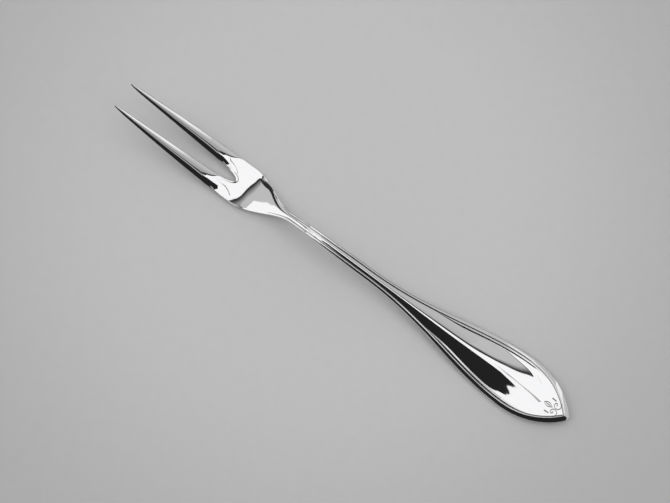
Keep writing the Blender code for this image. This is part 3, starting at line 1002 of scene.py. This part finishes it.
# Corners of the key, its outward direction there and the reach of its dark rim and of the grey beyond
KEY = (
    (11.9, -4.5, 0.8, -0.4, 1.9, 3.5), (12.0, 5.0, 1.0, 0.0, 2.3, 3.9),
    (12.0, 12.0, 1.0, 0.0, 1.4, 2.8), (11.5, 15.0, 0.9, 0.4, 0.5, 1.4),
    (10.3, 16.6, 0.6, 0.8, 0.5, 1.4), (7.0, 17.2, 0.0, 1.0, 0.5, 3.0),
    (1.0, 17.6, 0.0, 1.0, 0.7, 4.6), (-1.6, 18.6, -0.4, 0.8, 0.7, 4.6),
    (-3.4, 16.9, -1.0, 0.3, 0.7, 4.6), (-4.0, 15.4, -1.0, 0.1, 0.7, 4.6),
    (-4.3, 13.6, -1.0, 0.0, 0.7, 4.6), (-4.8, 12.2, -1.0, 0.0, 0.6, 4.0),
    (-5.5, 11.0, -1.0, 0.0, 0.6, 3.8), (-6.0, 10.1, -1.0, 0.0, 0.5, 3.5),
    (-6.3, 9.1, -1.0, 0.0, 0.5, 3.2), (-6.45, 8.2, -1.0, 0.0, 0.5, 3.0),
    (-6.35, 7.1, -1.0, 0.0, 0.5, 3.0), (-6.0, 5.9, -1.0, 0.0, 0.5, 3.0),
    (-6.0, 4.8, -1.0, 0.0, 0.5, 3.0), (-7.0, 0.5, -1.0, 0.0, 0.7, 4.6),
    (-8.8, -4.0, -1.0, 0.0, 0.7, 4.6), (-10.0, -8.0, -1.0, 0.0, 0.7, 4.6),
    (-10.0, -12.0, -1.0, -0.5, 0.7, 4.6), (-4.0, -12.0, 0.0, -1.0, 0.7, 4.6),
    (6.0, -4.5, 0.5, -0.8, 0.7, 4.6))
FRAME_TUCK = -1.0
frame_loops = ([], [], [])
for right, up, out, over, dark, pale in KEY:
    for loop, margin in zip(frame_loops, (FRAME_TUCK, dark, pale)):
        loop.append((right + out * margin, up + over * margin))
card("key", KEY_HEIGHT, WHITE, [corner[:2] for corner in KEY])
graded("frame", FRAME_HEIGHT, frame_loops, (FRAME_BLACK, FRAME_BLACK, GREY), closed=True)

# Dim field beside the key: start along the fork, place across it and brightness
DIM = ((11.5, -6.0, 0.08), (11.5, -1.0, 0.28), (10.0, 5.0, 0.40), (7.0, 14.0, 0.46), (5.0, 22.0, GREY))
DIM_RUN = 14.0
graded("dim", DIM_HEIGHT,
       [fork_corners([(start, across), (start + DIM_RUN, across)]) for start, across, _ in DIM],
       [level for _, _, level in DIM])

# Narrow grey seam in the key, with its width, and a low white cover that hides it from the head
SEAM = (
    (1.5, 12.4, 0.6), (0.8, 11.2, 0.6), (0.31, 8.1, 0.6), (-0.18, 6.9, 0.6), (-0.48, 6.05, 0.5),
    (-0.9, 4.5, 0.42), (-1.1, 3.6, 0.3))
COVER_EXTRA = 1.0
COVER_OFFSET = -1.03
card("seam", SEAM_HEIGHT, SEAM_GREY, band(SEAM, 0.0, 0.0))
card("seam_cover", SEAM_COVER_HEIGHT, WHITE, band(SEAM, COVER_EXTRA, COVER_OFFSET))

# Two thin grey lines low over the fork, which its root mirrors
CORDS = (
    ((0.8, 10.5), (-1.0, 10.1), (-3.6, 10.4), (-5.7, 10.3), (-7.1, 9.55), (-9.0, 8.7)),
    ((-2.2, 7.9), (-4.0, 4.6), (-5.7, 3.9), (-7.2, 3.7), (-9.4, 3.1), (-11.3, 2.2)))
CORD_HALF_WIDTH = 0.15
for number, line in enumerate(CORDS):
    sides = [(along, across - CORD_HALF_WIDTH) for along, across in line]
    sides += [(along, across + CORD_HALF_WIDTH) for along, across in reversed(line)]
    card("cord_%d" % number, CORD_HEIGHT, CORD_GREY, fork_corners(sides))

# Black flag that the leaf's near side mirrors, and the soft white edge that covers part of it
FLAG = (
    (1.6, 3.4), (9.0, 3.2), (12.0, -1.5), (19.0, -2.5), (32.0, -14.0), (58.0, -38.0),
    (42.0, -62.0), (-2.0, -78.0), (-3.2, -62.0), (-3.0, -50.0), (-5.0, -42.0), (-6.0, -25.0),
    (-4.5, -12.0), (-4.0, -8.5), (-1.0, -7.2), (-1.25, -5.9), (-1.38, -5.6), (-1.15, -5.3),
    (-0.62, -5.0), (-0.44, -4.45), (-0.62, -2.9), (-0.46, -0.8), (0.45, 1.05), (0.85, 2.9))
FLAG_EDGE = ((-5.0, WHITE), (-1.5, 0.8 * WHITE), (3.5, FLAG_EDGE_BLACK))
FLAG_EDGE_SIDES = (-7.3, -11.5)
card("flag", FLAG_HEIGHT, FLAG_BLACK, fork_corners(FLAG))
graded("flag_edge", FLAG_EDGE_HEIGHT,
       [fork_corners([(along, across) for across in FLAG_EDGE_SIDES]) for along, _ in FLAG_EDGE],
       [level for _, level in FLAG_EDGE])

# White cards beyond the key: to image left, along the leaf's far side and above the stem's far side
SECOND = (
    (-13.4, 15.0), (-13.2, 16.6), (-18.0, 21.2), (-24.3, 27.1), (-31.4, 32.7), (-37.0, 38.5),
    (-55.0, 20.0), (-45.0, -20.0), (-26.0, -22.0), (-6.5, -11.0), (-6.5, -2.0), (-9.5, -1.2),
    (-13.0, 0.3), (-16.0, 1.9))
STRIP = ((13.3, 17.0), (12.85, 20.0), (12.42, 23.5), (11.95, 28.0), (11.7, 34.0), (11.5, 60.0))
STRIP_STEPS = ((-0.3, GREY), (0.15, STRIP_WHITE), (7.0, STRIP_WHITE))
UPPER = ((-27.0, 30.0), (-9.0, 22.5), (-2.0, 21.5), (-2.0, 50.0), (-27.0, 50.0))
card("second", SECOND_HEIGHT, WHITE, SECOND)
graded("strip", KEY_HEIGHT,
       [fork_corners([(along + past, across) for along, across in STRIP]) for past, _ in STRIP_STEPS],
       [level for _, level in STRIP_STEPS])
card("upper", UPPER_HEIGHT, UPPER_WHITE, fork_corners(UPPER))

# Black bar that the neck mirrors, which fades out on its far side
BAR = (
    (-3.2, 17.3), (-5.8, 18.8), (-8.5, 20.1), (-10.5, 22.7), (-12.0, 26.9), (-17.4, 29.7),
    (-24.8, 31.7), (-31.6, 34.7), (-35.0, 38.0), (-31.4, 41.5), (-27.0, 38.8), (-19.7, 35.6),
    (-10.8, 34.6), (-4.9, 32.5), (-2.3, 29.1), (-0.6, 25.1), (-1.6, 20.5))
BAR_FAR_SIDE = BAR[:-6:-1]
BAR_FADE_SIDE = ((2.4, 21.5), (3.6, 28.0), (1.2, 33.5), (-1.6, 37.0), (-7.5, 40.0))
card("bar", BAR_HEIGHT, BAR_BLACK, BAR)
graded("bar_fade", BAR_HEIGHT, (BAR_FAR_SIDE, BAR_FADE_SIDE), (BAR_BLACK, GREY))

bpy.context.scene.view_settings.view_transform = 'Standard'
